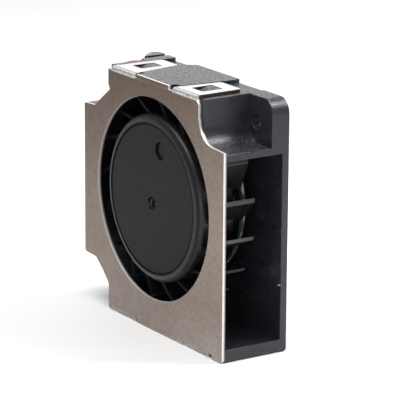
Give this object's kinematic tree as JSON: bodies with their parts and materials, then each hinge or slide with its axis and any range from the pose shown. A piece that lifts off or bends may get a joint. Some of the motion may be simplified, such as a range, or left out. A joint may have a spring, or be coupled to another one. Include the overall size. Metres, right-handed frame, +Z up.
{
  "type": "radial blower fan",
  "caption": "Small square radial blower fan: black moulded scroll housing, steel cover with bent snap tabs, bladed rotor on a centre hub, side outlet and two thin leads.",
  "frame": {"origin": "middle of the footprint, on the bottom edge that the fan stands on", "axes": "+X towards the outlet, +Y from the inlet face to the back, +Z up"},
  "size_m": [0.0529, 0.035, 0.051],
  "materials": {
    "housing_plastic": "fine textured black",
    "cover_steel": "satin zinc-coated sheet",
    "rotor_plastic": "satin black",
    "drawn_steel": "deep drawn",
    "magnet": "bonded ferrite",
    "brass": "turned",
    "shaft_steel": "ground",
    "nylon": "natural",
    "bearing_bronze": "sintered, oiled",
    "lamination_steel": "punched stack",
    "insulator_plastic": "moulded",
    "enamelled_copper": "enamelled wire",
    "board": "solder mask",
    "tinned_metal": "tinned",
    "chip_epoxy": "moulded epoxy",
    "chip_ceramic": "ceramic",
    "solder": "bright",
    "lead_red_pvc": "soft insulation",
    "lead_black_pvc": "soft insulation",
    "plug_nylon": "natural nylon"
  },
  "bodies": {
    "fan_body": {"housing": "housing_plastic", "cover_plate": "cover_steel", "bearing_tube": "brass", "sleeve_bearing": "bearing_bronze", "oil_seal": "nylon", "thrust_pad": "nylon", "stator_core": "lamination_steel", "insulator_front": "insulator_plastic", "insulator_rear": "insulator_plastic", "winding_1": "enamelled_copper", "winding_2": "enamelled_copper", "winding_3": "enamelled_copper", "winding_4": "enamelled_copper", "circuit_board": "board", "winding_pins": "tinned_metal", "driver_chip": "chip_epoxy", "chip_capacitor": "chip_ceramic", "chip_resistor": "chip_epoxy", "solder_joints": "solder", "lead_red_inner": "lead_red_pvc", "lead_black_inner": "lead_black_pvc", "lead_red": "lead_red_pvc", "lead_black": "lead_black_pvc", "lead_red_coil": "lead_red_pvc", "lead_black_coil": "lead_black_pvc", "plug_housing": "plug_nylon", "plug_contact_red": "tinned_metal", "plug_contact_black": "tinned_metal"},
    "rotor": {"impeller": "rotor_plastic", "rotor_yoke": "drawn_steel", "magnet_ring": "magnet", "shaft_boss": "brass", "shaft": "shaft_steel", "oil_slinger": "nylon", "retaining_clip": "nylon"}
  },
  "joints": [
    {"name": "rotor_spin", "type": "hinge", "parent": "fan_body", "child": "rotor", "pos_m": [-0.0001, 0, 0.0269], "axis": [0, -1, 0], "continuous": true}
  ]
}
